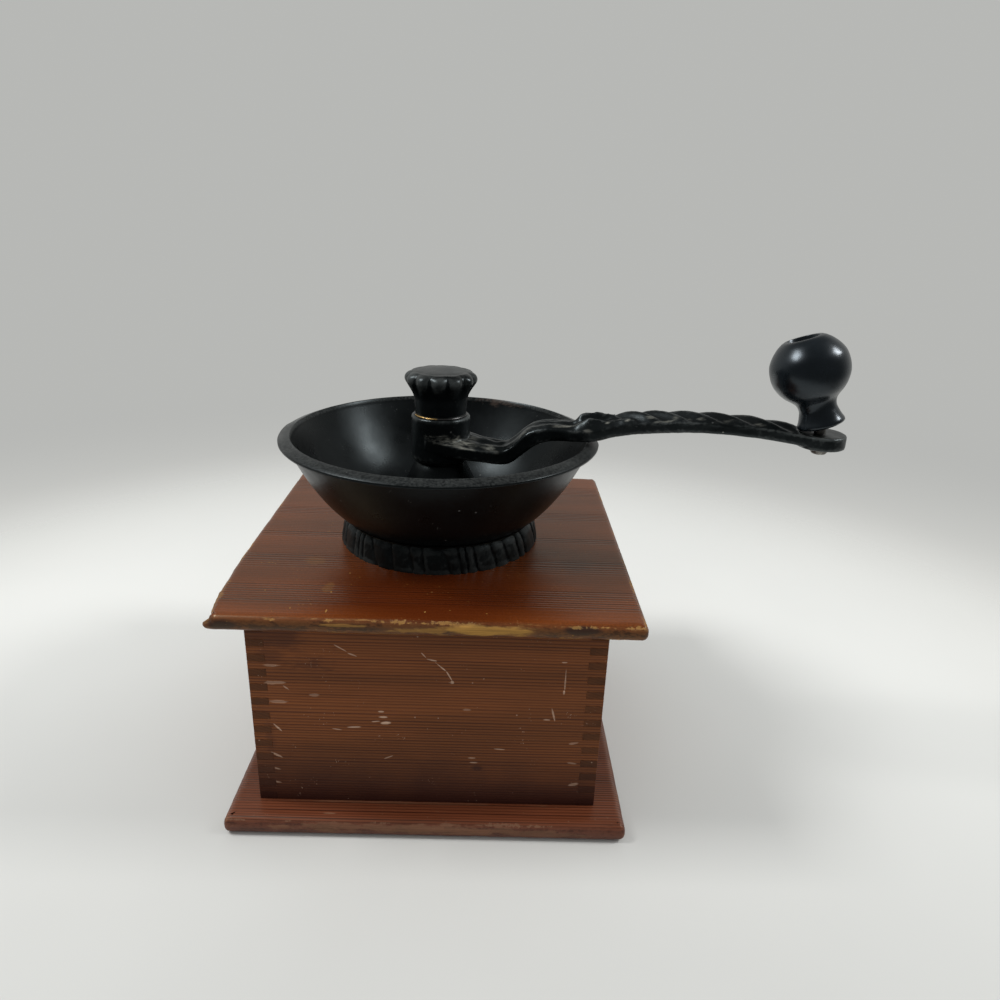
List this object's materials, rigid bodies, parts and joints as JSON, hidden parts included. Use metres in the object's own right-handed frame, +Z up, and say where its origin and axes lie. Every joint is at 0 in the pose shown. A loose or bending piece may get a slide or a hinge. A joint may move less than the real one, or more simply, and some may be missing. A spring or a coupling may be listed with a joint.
{
  "type": "coffee grinder",
  "caption": "Hand-cranked box coffee grinder: finger-jointed wooden case with a drawer, open cast bowl on a pleated foot ring, conical burrs, and a cast crank with a turned knob.",
  "frame": {"origin": "centre of the base board's underside, on the surface the grinder stands on", "axes": "+Z up along the spindle, the plain face of the case looks along -Y, the drawer opens along +Y, and the crank at rest points 10 degrees from +X towards -Y"},
  "size_m": [0.2485, 0.1678, 0.2021],
  "materials": {
    "front_wood": "reddish-brown varnish, worn",
    "board_wood": "reddish-brown varnish, worn at the edges",
    "drawer_wood": "bare softwood",
    "bowl_iron": "matt black paint",
    "crank_iron": "satin black paint, worn to grey",
    "burr_iron": "bare casting",
    "steel": "dull steel",
    "brass": "dull brass",
    "knob_paint": "gloss black paint"
  },
  "bodies": {
    "mill": {"base_board": "board_wood", "base_screw_1": "steel", "base_screw_2": "steel", "base_screw_3": "steel", "base_screw_4": "steel", "front_wall": "front_wood", "back_wall": "front_wood", "right_wall": "front_wood", "left_wall": "front_wood", "deck_board": "board_wood", "drawer_guide_left": "drawer_wood", "drawer_guide_right": "drawer_wood", "bowl": "bowl_iron", "bowl_screw_1": "steel", "bowl_screw_2": "steel", "bowl_screw_3": "steel", "foot_ring": "bowl_iron", "bearing_bridge": "bowl_iron", "spindle_bush": "brass", "bridge_screw_1": "steel", "bridge_screw_2": "steel", "bridge_screw_3": "steel", "outer_burr": "burr_iron", "lower_strap": "bowl_iron", "strap_screw_1": "steel", "strap_screw_2": "steel"},
    "crank": {"crank_arm": "crank_iron", "crank_washer": "brass", "knob_pin": "steel"},
    "knob": {"knob": "knob_paint"},
    "cap_nut": {"cap_nut": "crank_iron"},
    "spindle": {"spindle": "steel", "inner_burr": "burr_iron", "burr_nut": "steel"},
    "drawer": {"drawer_front": "front_wood", "drawer_left_side": "drawer_wood", "drawer_right_side": "drawer_wood", "drawer_back": "drawer_wood", "drawer_bottom": "drawer_wood", "drawer_pull": "brass", "drawer_pull_screw": "steel"}
  },
  "joints": [
    {"name": "crank_turn", "type": "hinge", "parent": "mill", "child": "crank", "pos_m": [0, 0, 0.1376], "axis": [0, 0, 1], "continuous": true},
    {"name": "knob_spin", "type": "hinge", "parent": "crank", "child": "knob", "pos_m": [0.1555, -0.02742, 0.1661], "axis": [-0.3205, 0.1328, 0.9379], "continuous": true},
    {"name": "nut_turn", "type": "hinge", "parent": "crank", "child": "cap_nut", "pos_m": [0, 0, 0.1592], "axis": [0, 0, 1], "range_deg": [-90, 270]},
    {"name": "spindle_lift", "type": "slide", "parent": "crank", "child": "spindle", "axis": [0, 0, 1], "range_m": [-0.00094, 0.00031]},
    {"name": "drawer_slide", "type": "slide", "parent": "mill", "child": "drawer", "axis": [0, 1, 0], "range_m": [0, 0.1]}
  ],
  "couplings": [
    {"joint": "nut_turn", "follows": "spindle_lift", "rad_per_m": -5026.5}
  ]
}
